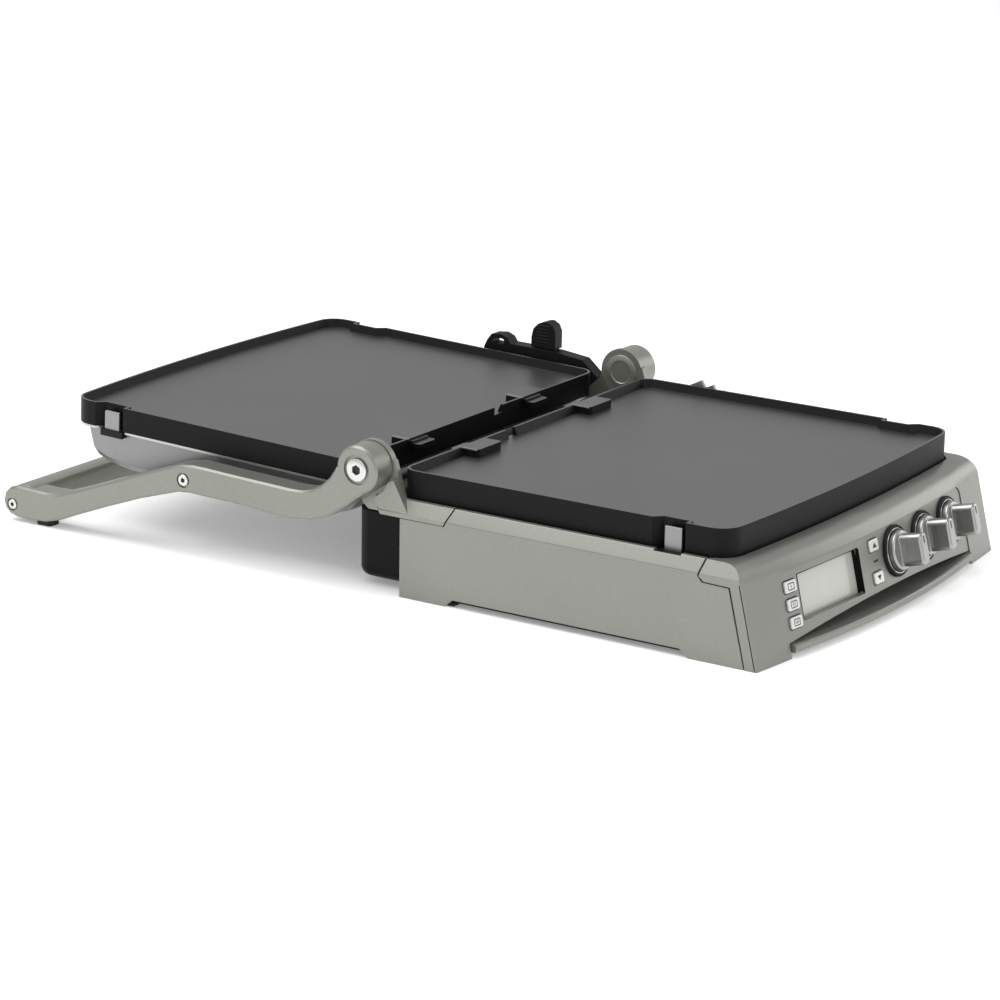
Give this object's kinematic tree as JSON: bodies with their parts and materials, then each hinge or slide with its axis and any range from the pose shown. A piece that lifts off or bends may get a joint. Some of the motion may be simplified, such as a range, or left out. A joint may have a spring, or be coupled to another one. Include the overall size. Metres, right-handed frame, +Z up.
{
  "type": "contact grill",
  "caption": "Contact grill opened flat: two removable griddle plates, base with control console, crooked lid arms and handle",
  "frame": {"origin": "on the table, under the centre of the opened press", "axes": "+X to the right as seen from the controls, +Y from the controls to the lid, +Z up"},
  "size_m": [0.3808, 0.6653, 0.1176],
  "materials": {
    "painted_grey": "satin",
    "cast_grey": "satin",
    "plate_coating": "matt non-stick coating",
    "pan_steel": "brushed",
    "screw_steel": "bright",
    "knob_metal": "brushed",
    "bezel_metal": "polished",
    "button_metal": "silver",
    "display_glass": "grey-green",
    "black_plastic": "matt",
    "black_gloss": "gloss",
    "lid_metal": "satin",
    "element_metal": "oxidised",
    "rubber_black": "matt",
    "board_green": "matt"
  },
  "bodies": {
    "base": {"side_panel_left": "painted_grey", "side_panel_right": "painted_grey", "hinge_bracket_left": "cast_grey", "hinge_bracket_right": "cast_grey", "hinge_pins": "screw_steel", "front_frame": "painted_grey", "console_panel": "painted_grey", "display_window": "display_glass", "knob_bezels": "bezel_metal", "control_board": "board_green", "encoders": "black_plastic", "base_tub": "black_plastic", "rear_housing": "black_gloss", "cord_gland": "rubber_black", "hinge_cover": "black_plastic", "rubber_feet": "rubber_black", "height_rack": "cast_grey", "base_pan": "pan_steel", "base_element": "element_metal", "clip_sockets_base": "black_plastic", "base_screws": "screw_steel"},
    "arms": {"arm_left": "cast_grey", "arm_right": "cast_grey", "handle_bar": "cast_grey", "hinge_screws": "screw_steel", "elbow_screws": "screw_steel", "handle_screws": "screw_steel", "handle_pads": "rubber_black", "lever_housing": "black_plastic"},
    "lid": {"lid_shell": "lid_metal", "lid_pan": "pan_steel", "lid_element": "element_metal", "clip_sockets_lid": "black_plastic"},
    "lower_plate": {"lower_plate": "plate_coating"},
    "upper_plate": {"upper_plate": "plate_coating"},
    "drip_tray": {"drip_tray": "painted_grey"},
    "release_lever": {"release_lever": "black_plastic"},
    "knob_1": {"knob_1": "knob_metal"},
    "knob_2": {"knob_2": "knob_metal"},
    "knob_3": {"knob_3": "knob_metal"},
    "button_1": {"button_1": "button_metal"},
    "button_2": {"button_2": "button_metal"},
    "button_3": {"button_3": "button_metal"},
    "button_up": {"button_up": "button_metal"},
    "button_down": {"button_down": "button_metal"},
    "clip_base_left": {"clip_base_left": "screw_steel"},
    "clip_base_right": {"clip_base_right": "screw_steel"},
    "clip_lid_left": {"clip_lid_left": "screw_steel"},
    "clip_lid_right": {"clip_lid_right": "screw_steel"}
  },
  "joints": [
    {"name": "arms_fold", "type": "hinge", "parent": "base", "child": "arms", "pos_m": [0, 0.00975, 0.0908], "axis": [1, 0, 0], "range_deg": [0, 178.6]},
    {"name": "lid_level", "type": "hinge", "parent": "arms", "child": "lid", "pos_m": [0, 0.16265, 0.0581], "axis": [1, 0, 0], "range_deg": [-2.5, 0.3]},
    {"name": "lower_plate_lift", "type": "slide", "parent": "base", "child": "lower_plate", "axis": [0, 0, -1], "range_m": [-0.08, 0]},
    {"name": "upper_plate_lift", "type": "slide", "parent": "lid", "child": "upper_plate", "axis": [0, 0.032, -0.9995], "range_m": [-0.08, 0]},
    {"name": "drip_tray_slide", "type": "slide", "parent": "base", "child": "drip_tray", "axis": [0, -1, 0], "range_m": [0, 0.22]},
    {"name": "release_lever_pull", "type": "slide", "parent": "arms", "child": "release_lever", "axis": [0, 0, 1], "range_m": [0, 0.006], "stiffness_N_per_m": 400},
    {"name": "knob_1_turn", "type": "hinge", "parent": "base", "child": "knob_1", "pos_m": [0.0173, -0.30778, 0.0384], "axis": [0.0119, -0.9714, 0.237], "range_deg": [-150, 150]},
    {"name": "knob_2_turn", "type": "hinge", "parent": "base", "child": "knob_2", "pos_m": [0.0617, -0.30653, 0.0384], "axis": [0.0424, -0.9706, 0.237], "range_deg": [-90, 90]},
    {"name": "knob_3_turn", "type": "hinge", "parent": "base", "child": "knob_3", "pos_m": [0.106, -0.3039, 0.0384], "axis": [0.0728, -0.9688, 0.237], "range_deg": [-150, 150]},
    {"name": "button_1_press", "type": "slide", "parent": "base", "child": "button_1", "axis": [0.0856, 0.9677, -0.237], "range_m": [0, 0.0008], "stiffness_N_per_m": 600},
    {"name": "button_2_press", "type": "slide", "parent": "base", "child": "button_2", "axis": [0.0854, 0.9677, -0.237], "range_m": [0, 0.0008], "stiffness_N_per_m": 600},
    {"name": "button_3_press", "type": "slide", "parent": "base", "child": "button_3", "axis": [0.0853, 0.9678, -0.237], "range_m": [0, 0.0008], "stiffness_N_per_m": 600},
    {"name": "button_up_press", "type": "slide", "parent": "base", "child": "button_up", "axis": [0.0093, 0.9715, -0.237], "range_m": [0, 0.0008], "stiffness_N_per_m": 600},
    {"name": "button_down_press", "type": "slide", "parent": "base", "child": "button_down", "axis": [0.0093, 0.9715, -0.237], "range_m": [0, 0.0008], "stiffness_N_per_m": 600},
    {"name": "clip_base_left_press", "type": "slide", "parent": "base", "child": "clip_base_left", "axis": [1, 0, 0], "range_m": [0, 0.0012], "stiffness_N_per_m": 1500},
    {"name": "clip_base_right_press", "type": "slide", "parent": "base", "child": "clip_base_right", "axis": [-1, 0, 0], "range_m": [0, 0.0012], "stiffness_N_per_m": 1500},
    {"name": "clip_lid_left_press", "type": "slide", "parent": "lid", "child": "clip_lid_left", "axis": [1, 0, 0], "range_m": [0, 0.0012], "stiffness_N_per_m": 1500},
    {"name": "clip_lid_right_press", "type": "slide", "parent": "lid", "child": "clip_lid_right", "axis": [-1, 0, 0], "range_m": [0, 0.0012], "stiffness_N_per_m": 1500}
  ]
}
